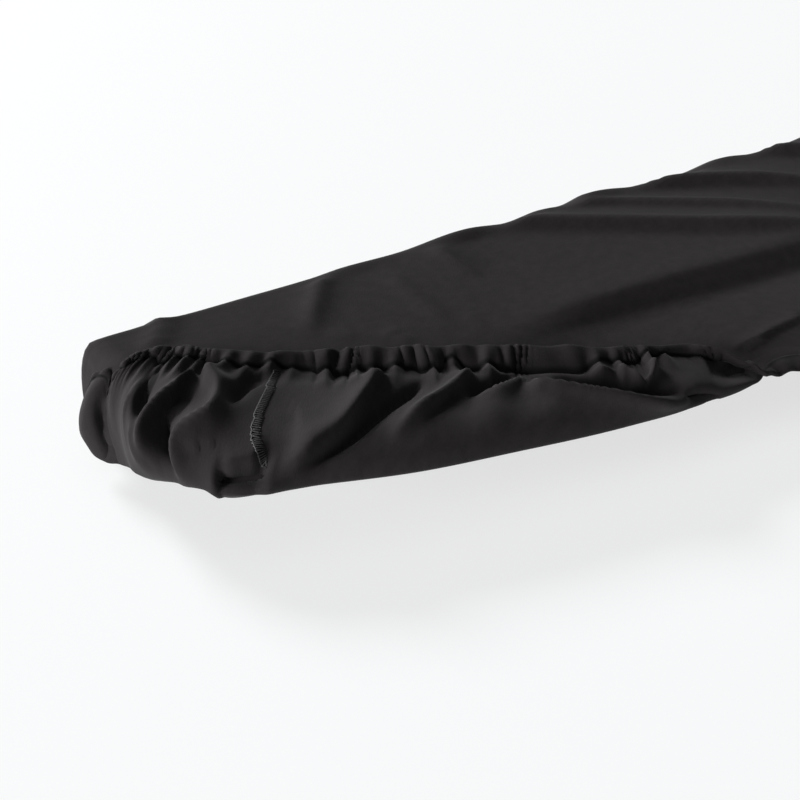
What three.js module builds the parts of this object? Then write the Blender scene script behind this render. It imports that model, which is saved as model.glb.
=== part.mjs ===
// Fitted dust cover of thin stretch cloth, long and low, with its front left corner turned back over the top.
// X runs along the cover, Y from its front to its back, Z up; all sizes are in millimetres.
import * as THREE from 'three';

// The box the cover fits, and its top's height from front to back.
const LENGTH = 935;
const DEPTH = 280;
const PROFILE = [
  { at: -40, z: 43 },
  { at: 0, z: 45 },
  { at: 28, z: 47 },
  { at: 62, z: 55 },
  { at: 112, z: 61 },
  { at: 146, z: 70 },
  { at: 280, z: 88.5 },
  { at: 330, z: 89 },
];

// The cloth and the casing along its free edge, which takes up at most a share of a short run.
const CLOTH = 2;
const CASING = 5;
const CASING_WIDTH = 15;
const CASING_SHARE = 0.5;

// The sides that hang: how far they stand out, how high the hem is and how far it tucks under, and the run's
// degrees up from straight out at its widest place and at the hem.
const HANG = { rim: 2, out: 10, outHeight: 36, hemHeight: 6, tuck: 8, turn: -90, land: -100 };
const END_OUT = 12;
const CORNER_TURN = 45;

// The origin is on the underside of the top, at mid length and mid depth.
const ORIGIN_X = LENGTH / 2;
const ORIGIN_Y = DEPTH / 2;

// Sections of the turned-back sides. `at` is the place along the rim from the front left corner, along the
// front above zero and along the left end below it. The cloth leaves the top at `rim`, rolls at `nose` and
// ends at `hem`; `turn` and `land` are the run's degrees up from straight out, at the nose and at the hem.
const SECTIONS = [
  { at: -283, rim: [-12, 279], nose: [-27, 289, 44], turn: -90, land: -100, hem: [-16, 284, 7] },
  { at: -264, rim: [-12, 269], nose: [-33, 277, 42], turn: -88, land: -95, hem: [-27, 274, 8] },
  { at: -249, rim: [-10, 260], nose: [-37, 265, 36], turn: -80, land: -70, hem: [-41, 262, 9] },
  { at: -233, rim: [-7, 250], nose: [-33, 253, 25], turn: -50, land: -15, hem: [-51, 252, 17] },
  { at: -218, rim: [-4, 241], nose: [-28, 243, 18], turn: -8, land: 65, hem: [-47, 245, 42] },
  { at: -202, rim: [-2, 232], nose: [-30, 234, 17], turn: 15, land: 92, hem: [-38, 240, 64] },
  { at: -187, rim: [-1, 224], nose: [-30, 225, 19], turn: 22, land: 112, hem: [-27, 240, 81] },
  { at: -172, rim: [0, 215], nose: [-30, 214, 23], turn: 30, land: 140, hem: [-11, 241, 91] },
  { at: -130, rim: [0, 190], nose: [-27, 188, 32], turn: 45, land: 170, hem: [16, 240, 93] },
  { at: -85, rim: [1, 165], nose: [-20, 158, 42], turn: 60, land: 172, hem: [38, 227, 91] },
  { at: -40, rim: [5, 141], nose: [-12, 130, 51], turn: 80, land: 172, hem: [62, 212, 87] },
  { at: 0, rim: [19, 120], nose: [3, 104, 54], turn: 88, land: 172, hem: [87, 198, 84] },
  { at: 60, rim: [64, 93], nose: [58, 81, 54], turn: 90, land: 170, hem: [137, 178, 81] },
  { at: 130, rim: [122, 71], nose: [116, 60, 53], turn: 90, land: 170, hem: [192, 152, 77] },
  { at: 200, rim: [186, 55], nose: [182, 44, 52], turn: 90, land: 170, hem: [247, 125, 72] },
  { at: 270, rim: [252, 42], nose: [248, 31, 50], turn: 90, land: 170, hem: [299, 99, 66] },
  { at: 330, rim: [316, 34], nose: [314, 22, 49], turn: 90, land: 170, hem: [341, 79, 63] },
  { at: 356, rim: [343, 33], nose: [341, 20, 48], turn: 88, land: 168, hem: [364, 64, 64] },
  { at: 376, rim: [366, 34], nose: [364, 19, 48], turn: 70, land: 150, hem: [384, 43, 65] },
  { at: 394, rim: [388, 37], nose: [386, 20, 48], turn: 40, land: 95, hem: [398, 18, 65] },
  { at: 412, rim: [410, 39], nose: [409, 21, 48], turn: 5, land: 30, hem: [411, -1, 56] },
  { at: 432, rim: [431, 37], nose: [431, 19, 47], turn: -15, land: -15, hem: [431, 2, 46] },
  { at: 454, rim: [453, 24], nose: [453, 6, 44], turn: -25, land: -35, hem: [453, -9, 39] },
  { at: 478, rim: [477, 10], nose: [478, -6, 40], turn: -60, land: -75, hem: [478, -13, 22] },
];

// Where the sides hang again on either side of the turned-back run, and how far on the next section is.
const BACK_LEFT = -DEPTH;
const FULLY_ON = 505;
const BACK_STEP = 45;
const FRONT_STEP = 60;

// How a run bends: the size of its roll, how much higher the roll rises below a high hem, the shares of the
// way that the bends take up, how far back the top's slope is read, and how much the flap fans outwards.
const ROLL = 13;
const ROLL_RISE = 0.35;
const SHOULDER = 0.3;
const BEND = 0.4;
const SLOPE_STEP = 8;
const FAN = 52;

// Folds of the top: each stands up by its height along a path of [x, y].
const TOP_FOLDS = [
  { path: [[42, 290], [10, 243]], width: 9, height: 4 },
  { path: [[186, 292], [150, 253], [113, 202]], width: 11, height: 5 },
  { path: [[250, 300], [272, 250]], width: 26, height: 4 },
  { path: [[330, 292], [431, 226], [572, 151]], width: 13, height: 6 },
  { path: [[345, 262], [410, 216], [560, 138]], width: 14, height: -3 },
  { path: [[450, 292], [538, 222], [600, 185]], width: 11, height: 5 },
  { path: [[505, 290], [590, 236], [660, 205]], width: 10, height: 4 },
  { path: [[620, 292], [690, 255], [780, 215]], width: 13, height: 6 },
  { path: [[720, 290], [810, 250], [890, 200]], width: 15, height: 5 },
];

// Folds of the turned-back flap: each stands up on the side that shows, along a path of
// [at, share of the run from rim to hem]. A whole run counts as this long beside the places along the rim.
const FLAP_FOLDS = [
  { path: [[-136, 0.86], [-146, 0.75], [-124, 0.46]], width: 13, height: 5 },
  { path: [[-112, 0.8], [-110, 0.55], [-92, 0.35]], width: 11, height: 6 },
  { path: [[-92, 0.78], [-98, 0.58], [-80, 0.42]], width: 11, height: -5 },
  { path: [[-58, 0.84], [-72, 0.66], [-84, 0.54]], width: 12, height: 7 },
  { path: [[-37, 0.76], [-46, 0.52], [-60, 0.42], [-46, 0.28]], width: 13, height: 7 },
  { path: [[-12, 0.72], [-18, 0.52], [-26, 0.38]], width: 13, height: -5 },
  { path: [[6, 0.84], [10, 0.42]], width: 14, height: 4 },
  { path: [[92, 0.82], [72, 0.55], [46, 0.26]], width: 18, height: 9 },
  { path: [[128, 0.62], [98, 0.44], [60, 0.24]], width: 14, height: -5 },
  { path: [[152, 0.76], [122, 0.5], [100, 0.28]], width: 15, height: 8 },
  { path: [[190, 0.62], [164, 0.46], [144, 0.3]], width: 15, height: -4 },
  { path: [[206, 0.6], [260, 0.46], [325, 0.26]], width: 13, height: 5 },
  { path: [[233, 0.74], [279, 0.62], [330, 0.46]], width: 12, height: -4 },
];
const RUN_SCALE = 125;

// The flap stands off the top between its roll and its casing, from one end of the flap to the other.
const PUFF = { height: 5, grows: [0.2, 0.4], sinks: [0.8, 0.92], starts: [-170, -120], ends: [300, 380] };

// Soft upright folds of the sides that hang.
const SWAY = { pitch: 96, wander: 57, depth: 3.5 };

// Rows of the net: along, across, and down the fall. Columns crowd towards the front left and rows towards
// the roll, where the folds are.
const ALONG = 52;
const ACROSS = 17;
const DOWN = 14;
const FIRST_ALONG = 11;
const FIRST_ACROSS = 15;
const COLUMN_CROWDING = 4;
const ROW_CROWDING = 1.2;
const NOSE_ROW = 4;
const CASING_ROWS = 3;

const PERIMETER = 2 * (LENGTH + DEPTH);
const up = new THREE.Vector3(0, 0, 1);
const between = ([low, high], x) => THREE.MathUtils.smoothstep(x, low, high);

// Smooth curve through one value of a table's rows, read at `at`.
function read(rows, value, at) {
  let i = 0;
  while (i < rows.length - 2 && at > rows[i + 1].at) {
    i += 1;
  }
  const slope = (k) => {
    const before = rows[Math.max(k - 1, 0)];
    const after = rows[Math.min(k + 1, rows.length - 1)];
    return (value(after) - value(before)) / (after.at - before.at);
  };
  const [a, b] = [rows[i], rows[i + 1]];
  const span = b.at - a.at;
  const t = THREE.MathUtils.clamp((at - a.at) / span, 0, 1);
  const [t2, t3] = [t * t, t * t * t];
  return (2 * t3 - 3 * t2 + 1) * value(a) + (t3 - 2 * t2 + t) * span * slope(i)
    + (3 * t2 - 2 * t3) * value(b) + (t3 - t2) * span * slope(i + 1);
}

// Height of the top where it lies, before its folds.
function topHeight(y) {
  return read(PROFILE, (row) => row.z, y);
}

// Place along the rim from the front left corner: below zero on the left end and the left half of the back.
function signed(at) {
  return at > (PERIMETER + LENGTH) / 2 ? at - PERIMETER : at;
}

// Point of the fitted box's outline and the way out of it; corners turn the way out over a short arc.
function outline(at) {
  const s = THREE.MathUtils.euclideanModulo(at, PERIMETER);
  const corners = [0, LENGTH, LENGTH + DEPTH, 2 * LENGTH + DEPTH, PERIMETER];
  const starts = [[0, 0], [LENGTH, 0], [LENGTH, DEPTH], [0, DEPTH]];
  const ways = [[1, 0], [0, 1], [-1, 0], [0, -1]];
  let side = 0;
  while (side < 3 && s >= corners[side + 1]) {
    side += 1;
  }
  const along = s - corners[side];
  const left = corners[side + 1] - s;
  const x = starts[side][0] + ways[side][0] * along;
  const y = starts[side][1] + ways[side][1] * along;
  const lag = Math.max(0, 1 - along / CORNER_TURN) - Math.max(0, 1 - left / CORNER_TURN);
  const angle = (side - 1) * Math.PI / 2 - lag * Math.PI / 4;
  return { x, y, out: new THREE.Vector3(Math.cos(angle), Math.sin(angle), 0) };
}

// A section of a side that hangs straight down.
function hanging(at) {
  const { x, y, out } = outline(at);
  const reach = HANG.out + END_OUT * Math.abs(out.x);
  return {
    at,
    rim: [x - out.x * HANG.rim, y - out.y * HANG.rim],
    nose: [x + out.x * reach, y + out.y * reach, HANG.outHeight],
    turn: HANG.turn,
    land: HANG.land,
    hem: [x - out.x * HANG.tuck, y - out.y * HANG.tuck, HANG.hemHeight],
  };
}

const turned = [
  hanging(BACK_LEFT - 2 * BACK_STEP),
  hanging(BACK_LEFT - BACK_STEP),
  ...SECTIONS,
  hanging(FULLY_ON),
  hanging(FULLY_ON + FRONT_STEP),
];

// The section at any place along the rim, read from the table where the cover is turned back.
function sectionAt(at) {
  const { out } = outline(at);
  if (at <= turned[0].at || at >= turned[turned.length - 1].at) {
    return { ...hanging(at), out };
  }
  const point = (name, axes) => axes.map((axis) => read(turned, (row) => row[name][axis], at));
  return {
    rim: point('rim', [0, 1]),
    nose: point('nose', [0, 1, 2]),
    turn: read(turned, (row) => row.turn, at),
    land: read(turned, (row) => row.land, at),
    hem: point('hem', [0, 1, 2]),
    out,
  };
}

// The run of one section as two joined curves: down from the rim to the nose, and back to the hem.
function sectionCurves(at) {
  const row = sectionAt(at);
  const rim = new THREE.Vector3(row.rim[0], row.rim[1], topHeight(row.rim[1]));
  const nose = new THREE.Vector3(...row.nose);
  const hem = new THREE.Vector3(...row.hem);
  const heading = (degrees, way) => {
    const angle = THREE.MathUtils.degToRad(degrees);
    return way.clone().multiplyScalar(Math.cos(angle)).addScaledVector(up, Math.sin(angle));
  };
  const run = heading(row.turn, row.out);
  const lie = row.out.clone().multiplyScalar(FAN).add(nose).sub(hem).setZ(0).normalize();
  const landing = heading(row.land, lie);
  const rise = ROLL + ROLL_RISE * Math.max(0, hem.z - nose.z);
  const behind = rim.clone().addScaledVector(row.out, -SLOPE_STEP);
  behind.z = topHeight(behind.y);
  const leave = rim.clone().sub(behind).normalize();
  const first = rim.distanceTo(nose);
  const second = nose.distanceTo(hem);
  const down = new THREE.CubicBezierCurve3(
    rim,
    rim.clone().addScaledVector(leave, first * SHOULDER),
    nose.clone().addScaledVector(run, -Math.min(ROLL, first * BEND)),
    nose,
  );
  const back = new THREE.CubicBezierCurve3(
    nose,
    nose.clone().addScaledVector(run, Math.min(rise, second * BEND)),
    hem.clone().addScaledVector(landing, -second * BEND),
    hem,
  );
  return { down, back };
}

// How far a set of folds lifts the cloth at one place.
function lift(folds, a, b, scale) {
  const here = new THREE.Vector3(a, b * scale, 0);
  const near = new THREE.Vector3();
  const line = new THREE.Line3();
  let sum = 0;
  folds.forEach(({ path, width, height }) => {
    let gap = Infinity;
    for (let n = 0; n < path.length - 1; n += 1) {
      line.start.set(path[n][0], path[n][1] * scale, 0);
      line.end.set(path[n + 1][0], path[n + 1][1] * scale, 0);
      gap = Math.min(gap, line.closestPointToPoint(here, true, near).distanceTo(here));
    }
    sum += height * Math.exp(-((gap / width) ** 2));
  });
  return sum;
}

// Places along the rim of the net's columns, from the front left corner right round.
function stations() {
  const spread = (n, count, first, total) => {
    const rest = total - first * count;
    return first * n + rest * (n / count) ** COLUMN_CROWDING;
  };
  const along = (i) => spread(i, ALONG, FIRST_ALONG, LENGTH);
  const across = (j) => spread(j, ACROSS, FIRST_ACROSS, DEPTH);
  const list = [];
  for (let i = 0; i < ALONG; i += 1) {
    list.push(along(i));
  }
  for (let j = 0; j < ACROSS; j += 1) {
    list.push(LENGTH + across(j));
  }
  for (let i = ALONG; i > 0; i -= 1) {
    list.push(2 * LENGTH + DEPTH - along(i));
  }
  for (let j = ACROSS; j > 0; j -= 1) {
    list.push(PERIMETER - across(j));
  }
  return list.map(signed);
}

// The points of one section, each with its share of the run. The casing's rows are even, and the rows
// before it crowd towards the nose.
function sectionPoints(at) {
  const { down, back } = sectionCurves(at);
  const [first, second] = [down.getLength(), back.getLength()];
  const casing = Math.min(CASING_WIDTH / second, CASING_SHARE);
  const plain = DOWN - CASING_ROWS - NOSE_ROW;
  const list = [];
  for (let r = 0; r <= NOSE_ROW; r += 1) {
    const u = r / NOSE_ROW;
    list.push({ share: u * first / (first + second), point: down.getPointAt(u) });
  }
  for (let r = 1; r <= DOWN - NOSE_ROW; r += 1) {
    const before = (1 - casing) * Math.min(r / plain, 1) ** ROW_CROWDING;
    const u = before + casing * Math.max(r - plain, 0) / CASING_ROWS;
    list.push({ share: (first + u * second) / (first + second), point: back.getPointAt(u) });
  }
  return list;
}

// How far the fall stands in from its smooth run: a soft sway where it hangs, folds where it is turned back.
function foldHeight(at, share) {
  if (at > FULLY_ON || at < BACK_LEFT) {
    const wave = Math.sin(2 * Math.PI * (at / SWAY.pitch) + Math.sin(at / SWAY.wander));
    return SWAY.depth * share * share * wave;
  }
  const flap = between(PUFF.starts, at) * (1 - between(PUFF.ends, at));
  const puff = flap * between(PUFF.grows, share) * (1 - between(PUFF.sinks, share));
  return PUFF.height * puff + lift(FLAP_FOLDS, at, share, RUN_SCALE);
}

// The fall's columns round the rim, with their folds.
function fall() {
  const places = stations();
  const runs = places.map(sectionPoints);
  const count = runs.length;
  return runs.map((run, k) => run.map(({ share, point }, r) => {
    if (r === 0) {
      return point.clone();
    }
    const before = runs[(k + count - 1) % count][r].point;
    const after = runs[(k + 1) % count][r].point;
    const below = run[Math.min(r + 1, DOWN)].point.clone().sub(run[r - 1].point);
    const inside = after.clone().sub(before).cross(below).normalize();
    return point.clone().addScaledVector(inside, foldHeight(places[k], share));
  }));
}

// Middle surface of the cloth as rows of points: the fall's rows round the rim, and the top's rows.
function net() {
  const ring = fall();
  const count = ring.length;
  const rimAt = (k) => ring[(k + count) % count][0];
  const front = (i) => rimAt(i);
  const right = (j) => rimAt(ALONG + j);
  const back = (i) => rimAt(2 * ALONG + ACROSS - i);
  const left = (j) => rimAt(-j);
  const top = [];
  for (let j = 0; j <= ACROSS; j += 1) {
    const row = [];
    for (let i = 0; i <= ALONG; i += 1) {
      const p = i / ALONG;
      const q = j / ACROSS;
      const point = new THREE.Vector3();
      point.addScaledVector(left(j), 1 - p).addScaledVector(right(j), p);
      point.addScaledVector(front(i), 1 - q).addScaledVector(back(i), q);
      point.addScaledVector(left(0), -(1 - p) * (1 - q)).addScaledVector(right(0), -p * (1 - q));
      point.addScaledVector(left(ACROSS), -(1 - p) * q).addScaledVector(right(ACROSS), -p * q);
      point.z = topHeight(point.y) + lift(TOP_FOLDS, point.x, point.y, 1);
      row.push(point);
    }
    top.push(row);
  }
  return { ring, top };
}

// Number each point of the middle surface once, give it half its thickness and list the faces.
function middleSurface() {
  const { ring, top } = net();
  const points = [];
  const half = [];
  const faces = [];
  const add = (point, thick) => {
    points.push(point);
    half.push(thick / 2);
    return points.length - 1;
  };
  const topIds = top.map((row) => row.map((point) => add(point, CLOTH)));
  const count = ring.length;
  const rimId = (k) => {
    if (k < ALONG) {
      return topIds[0][k];
    }
    if (k < ALONG + ACROSS) {
      return topIds[k - ALONG][ALONG];
    }
    if (k < 2 * ALONG + ACROSS) {
      return topIds[ACROSS][2 * ALONG + ACROSS - k];
    }
    return topIds[count - k][0];
  };
  const ringIds = ring.map((column, k) => column.map((point, r) => {
    if (r === 0) {
      return rimId(k);
    }
    const inCasing = r > DOWN - CASING_ROWS && r < DOWN;
    return add(point, inCasing ? CASING : CLOTH);
  }));
  for (let j = 0; j < ACROSS; j += 1) {
    for (let i = 0; i < ALONG; i += 1) {
      faces.push([topIds[j][i + 1], topIds[j + 1][i + 1], topIds[j + 1][i], topIds[j][i]]);
    }
  }
  for (let k = 0; k < count; k += 1) {
    const next = (k + 1) % count;
    for (let r = 0; r < DOWN; r += 1) {
      faces.push([ringIds[next][r + 1], ringIds[next][r], ringIds[k][r], ringIds[k][r + 1]]);
    }
  }
  const edge = ringIds.map((column) => column[DOWN]);
  return { points, half, faces, edge };
}

// Give the middle surface its thickness: an outer skin, an inner skin and the hem's edge between them.
function thicken({ points, half, faces, edge }, origin) {
  const normals = points.map(() => new THREE.Vector3());
  faces.forEach(([a, b, c, d]) => {
    const across = points[c].clone().sub(points[a]);
    const other = points[d].clone().sub(points[b]);
    const normal = across.cross(other);
    [a, b, c, d].forEach((k) => normals[k].add(normal));
  });
  const place = [];
  [1, -1].forEach((side) => points.forEach((point, k) => {
    const skin = point.clone().addScaledVector(normals[k].clone().normalize(), side * half[k]);
    place.push(...skin.sub(origin).toArray());
  }));
  const inner = points.length;
  const index = [];
  faces.forEach(([a, b, c, d]) => {
    index.push(a, b, c, a, c, d);
    index.push(inner + a, inner + c, inner + b, inner + a, inner + d, inner + c);
  });
  edge.forEach((a, k) => {
    const b = edge[(k + 1) % edge.length];
    index.push(a, inner + a, inner + b, a, inner + b, b);
  });
  const geometry = new THREE.BufferGeometry();
  geometry.setAttribute('position', new THREE.Float32BufferAttribute(place, 3));
  geometry.setIndex(index);
  geometry.computeVertexNormals();
  return geometry;
}

const originHeight = topHeight(ORIGIN_Y) + lift(TOP_FOLDS, ORIGIN_X, ORIGIN_Y, 1) - CLOTH / 2;
const origin = new THREE.Vector3(ORIGIN_X, ORIGIN_Y, originHeight);

const cloth = new THREE.MeshStandardMaterial({ color: 0x2d2c2e, roughness: 0.9, side: THREE.DoubleSide });
const cover = new THREE.Mesh(thicken(middleSurface(), origin), cloth);
cover.name = 'cover';

const part = new THREE.Group();
part.name = 'keyboard_dust_cover';
part.add(cover);

export default part;
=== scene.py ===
import math

import bpy
import numpy as np
from mathutils import Matrix, Vector


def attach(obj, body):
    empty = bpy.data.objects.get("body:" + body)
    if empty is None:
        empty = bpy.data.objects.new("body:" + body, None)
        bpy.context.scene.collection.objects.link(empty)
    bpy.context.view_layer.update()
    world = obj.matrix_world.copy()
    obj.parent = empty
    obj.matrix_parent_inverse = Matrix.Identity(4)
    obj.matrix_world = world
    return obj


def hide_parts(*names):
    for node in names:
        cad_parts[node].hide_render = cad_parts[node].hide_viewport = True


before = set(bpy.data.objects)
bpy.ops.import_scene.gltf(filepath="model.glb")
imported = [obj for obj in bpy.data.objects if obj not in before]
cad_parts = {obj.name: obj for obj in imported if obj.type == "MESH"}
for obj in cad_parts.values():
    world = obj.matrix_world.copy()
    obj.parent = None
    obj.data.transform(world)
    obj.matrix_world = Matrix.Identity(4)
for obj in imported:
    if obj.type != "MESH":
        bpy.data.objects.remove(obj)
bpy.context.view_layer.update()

# Fitted dust cover of thin black stretch cloth, its front left corner turned back over the top.
# Sizes are in millimetres, X along the cover, Y from its front to its back, Z up from the surface under it.
# The part's origin is on the underside of the top, at mid length and mid depth.
# A place along the rim counts from the front left corner, to the right, and below zero up the left end.
LENGTH = 935.0
DEPTH = 280.0
FALL = 105.0
PERIMETER = 2 * (LENGTH + DEPTH)
ORIGIN = np.array([LENGTH / 2, DEPTH / 2, 67.747])
PER_METRE = 1000
UP = np.array([0, 0, 1.0])
QUARTER_TURN = 90
TINY = 1e-9

# The way along each side of the cover: front, right end, back and left end.
SIDE_WAYS = np.array([(1, 0), (0, 1), (-1, 0), (0, -1)], float)

# Height of the top from front to back: y, z.
PROFILE = [
    (-40, 43), (0, 45), (28, 47), (62, 55), (112, 61), (146, 70), (280, 88.5), (330, 89),
]

# Half of the cloth's thickness, the casing's rows as shares of its width, and half of the casing's thickness
# from its stitch line to its edge.
HALF_CLOTH = 0.5
CASING_STEPS = np.array([0.1, 0.28, 0.5, 0.72, 0.9, 1.0])
CASING_HALF = [0.8, 1.5, 2.0, 2.2, 2.0, 1.3, 0.5]

# The casing is drawn up unevenly: place along the rim, width.
CASING_WIDTHS = [
    (-300, 18), (-285, 18), (-262, 7.2), (-220, 7), (-188, 6.5), (-174, 6), (-155, 6), (-136, 10),
    (-125, 11), (-117, 17), (-100, 10), (-84, 11), (-70, 10), (-65, 14.5), (-61, 16), (-53, 12),
    (-43, 10.5), (-35, 13), (-22, 13.5), (-12, 12), (-3, 8.5), (2, 11), (9, 13.5), (21, 14.5), (27, 15.5),
    (33, 18.5), (38.5, 17), (44, 22), (49, 23), (56, 21), (62, 19), (73, 18), (85, 18), (95, 17), (100, 19),
    (107, 18.5), (116, 23), (122.5, 20), (127.5, 23.5), (134, 13), (140, 10), (147, 16), (155, 20),
    (160, 19.5), (169, 16.5), (177, 21.5), (194, 22.5), (233, 22), (244, 22.5), (253, 18), (260, 14),
    (268, 12), (276, 13), (284, 14.5), (297, 15.5), (302, 13), (309, 7), (321, 9.5), (326, 8), (337, 9),
    (346, 10), (355, 9), (372, 15), (388, 18), (470, 18),
]

# The flap's surface follows the casing's width evened out over a length, read in small steps.
EVENED_OVER = 30.0
EVENED_STEP = 3.0

# The casing takes at most a share of a short run, and more of it where the casing is twisted over.
CASING_SHARE = 0.4
TWIST_SHARE = 0.5
TWIST_GROWS, TWIST_ENDS = (360, 384), (440, 470)

# The sides that hang: how far in the rim lies, how far out the cloth stands and how much more at the ends,
# the heights of that place and of the hem, how far in the hem is tucked, and the slants at both places.
HANG = {
    "rim": 2.0, "out": 10.0, "end_out": 12.0, "out_height": 36.0, "hem_height": 6.0, "tuck": 8.0,
    "turn": -90.0, "land": -100.0,
}

# The way out of the cover turns a corner over this length on both sides of it.
CORNER_TURN = 45.0

# Where the sides hang straight down on either side of the turned-back run, and the steps between their
# sections there.
BACK_LEFT = -DEPTH
FULLY_ON = 505.0
BACK_STEP = 45.0
FRONT_STEP = 60.0
HANGS_TO = (BACK_LEFT - 10, BACK_LEFT + 30)
HANGS_FROM = (FULLY_ON - 40, FULLY_ON)

# Sections of the turned-back sides: place along the rim, where the cloth leaves the top, its nose where it
# rolls, its slants there and at the hem in degrees, and where the hem lies.
SECTIONS = [
    # at, rim x, y, nose x, y, z, turn, land, hem x, y, z
    (-283, -12, 279, -27, 289, 44, -90, -100, -16, 284, 7),
    (-270, -12, 272, -31, 280, 38, -80, -60, -27, 278, 20),
    (-258, -11, 265, -37, 268, 28, -10, 60, -30, 271, 47),
    (-246, -9, 258, -39, 259, 20, 50, 118, -26, 265, 67),
    (-232, -7, 250, -40, 250, 17, 74, 140, -21, 256, 77),
    (-218, -4, 241, -37, 243, 15, 80, 145, -16, 248, 79),
    (-205, -2, 233, -33, 236, 15, 90, 125, -20, 243, 70),
    (-192, -1, 227, -30, 229, 17, 92, 125, -14, 239, 84),
    (-178, 0, 218, -29, 219, 21, 90, 138, -7, 238, 91),
    (-160, 0, 208, -28, 207, 26, 86, 154, 3, 238, 93),
    (-130, 0, 190, -26, 188, 32, 72, 170, 17, 237, 93),
    (-85, 1, 165, -20, 158, 42, 60, 172, 37, 225, 92),
    (-40, 5, 141, -12, 130, 51, 80, 172, 60, 207, 90),
    (0, 19, 120, 3, 104, 54, 88, 172, 84, 192, 88),
    (60, 64, 93, 58, 81, 54, 90, 170, 133, 170, 86),
    (130, 122, 71, 116, 60, 53, 90, 170, 186, 143, 83),
    (200, 186, 55, 182, 44, 52, 90, 170, 238, 114, 80),
    (270, 252, 42, 248, 31, 50, 90, 170, 288, 87, 75),
    (330, 316, 34, 314, 22, 49, 90, 170, 334, 73, 68),
    (346, 333, 33, 331, 21, 48, 88, 162, 354, 67, 65),
    (358, 345, 33, 343, 20, 48, 84, 125, 362, 54, 67),
    (368, 357, 34, 355, 19, 48, 78, 92, 370, 42, 64),
    (380, 370, 36, 368, 19, 48, 68, 62, 378, 30, 59),
    (391, 383, 38, 381, 20, 48, 48, 30, 386, 21, 53),
    (399, 392, 41, 391, 25, 49, 10, 0, 392, 19, 49),
    (408, 403, 44, 403, 32, 49, -8, -10, 402, 17, 47),
    (420, 418, 45, 418, 33, 49, -10, -12, 417, 15, 47),
    (434, 433, 42, 433, 29, 48, -15, -16, 432, 11, 45),
    (454, 453, 30, 453, 15, 46, -25, -35, 453, 0, 40),
    (478, 477, 12, 478, -4, 41, -60, -75, 478, -12, 22),
]

# A section's curves: the roll's reach and how much more it has under a high hem, how much of each curve the
# ends lead, the step that the top's slope is read over, how far the flap fans out, and the curves' points.
ROLL = 13.0
ROLL_RISE = 0.35
BEND = 0.4
SHOULDER = 0.3
SLOPE_STEP = 8.0
FAN = 52.0
DOWN_POINTS, BACK_POINTS, HEM_POINTS = 60, 90, 30

# The shoulder loses a share where the left end is turned back, and is whole again at the front.
SHOULDER_LOSS = 0.7
SHOULDER_GROWS = (-60, 0)

# Where the fall is turned back, growing and ending. By these angles in degrees the flap dips to its stitch
# line and the casing slants up from there, more and more along the left end.
TURNED = ((-225, -170), (372, 404))
DIP = 6.0
CASING_SLANT = 27.0
SLANT_GROWS = (-192, -150)

# The flap keeps clear of the top, whose left edge is rounded: from a place along the rim on, and inwards of
# the left edge and of the line of the rim. That line starts at one place, and lies at one depth left of it.
CLEAR = 2.0
EDGE_ROUND = 0.04
OVER_TOP_FROM = -215.0
RIM_LINE_FROM = -132.0
LEFT_EDGE = (-18, -10)
PAST_RIM = (0, 10)
LINE_START = 170.0

# The flap also keeps clear of the left end's wall: between two places along the rim, where it lies no
# further in than a reach and below the top. The wall is read from its points nearby, if there are enough.
OFF_END = (-262, -8)
END_REACH = 12.0
BELOW_TOP = (2.0, 7.0)
WALL_REACH = 6.0
WALL_ENOUGH = (1.0, 3.0)

# Folds of the top: path of (x, y), height, reach on the path's right and on its left, and how much of the
# path each end takes to fade.
TOP_FOLDS = [
    ([(42, 290), (26, 266), (10, 243)], 4.0, 6, 9, 0.0, 0.3),
    ([(186, 296), (150, 253), (113, 202)], 4.6, 12, 9, 0.0, 0.4),
    ([(240, 300), (262, 275), (285, 220)], 3.0, 24, 26, 0.0, 0.5),
    ([(270, 302), (296, 289), (330, 279), (360, 266), (386, 252), (447, 219), (501, 189), (575, 153),
      (660, 112)], 9.0, 9, 24, 0.1, 0.35),
    ([(340, 302), (366, 288), (437, 267), (490, 240), (546, 209), (599, 175), (660, 140)],
     5.0, 6, 14, 0.1, 0.4),
    ([(380, 302), (410, 291), (450, 285), (500, 273), (555, 253), (598, 234), (640, 210), (720, 165)],
     9.0, 8, 22, 0.05, 0.4),
    ([(550, 302), (580, 290), (620, 282), (655, 272), (690, 254), (780, 205)], 9.5, 8, 22, 0.0, 0.4),
    ([(690, 302), (722, 288), (760, 268), (840, 222)], 5.0, 8, 20, 0.0, 0.4),
    ([(770, 300), (805, 282), (850, 262), (920, 225)], 7.0, 9, 22, 0.0, 0.4),
    ([(230, 151), (300, 151), (356, 149), (417, 146), (479, 140), (546, 134), (680, 117)],
     4.0, 9, 42, 0.25, 0.3),
    ([(240, 135), (324, 132), (402, 127), (464, 121), (529, 116), (660, 102)], -4.0, 32, 9, 0.25, 0.3),
    ([(388, 55), (421, 56), (445, 58), (470, 59), (540, 63)], 2.8, 1.2, 9, 0.12, 0.5),
    ([(210, 268), (216, 217), (214, 163)], 1.9, 5, 7, 0.3, 0.3),
    ([(136, 213), (146, 189)], 1.6, 3.5, 5, 0.3, 0.3),
    ([(173, 197), (181, 166)], 1.6, 3.5, 5, 0.3, 0.3),
    ([(238, 186), (231, 150)], 1.5, 3.5, 5, 0.3, 0.3),
    ([(267, 275), (269, 249), (276, 208)], 2.2, 6, 8, 0.2, 0.4),
]

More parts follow.
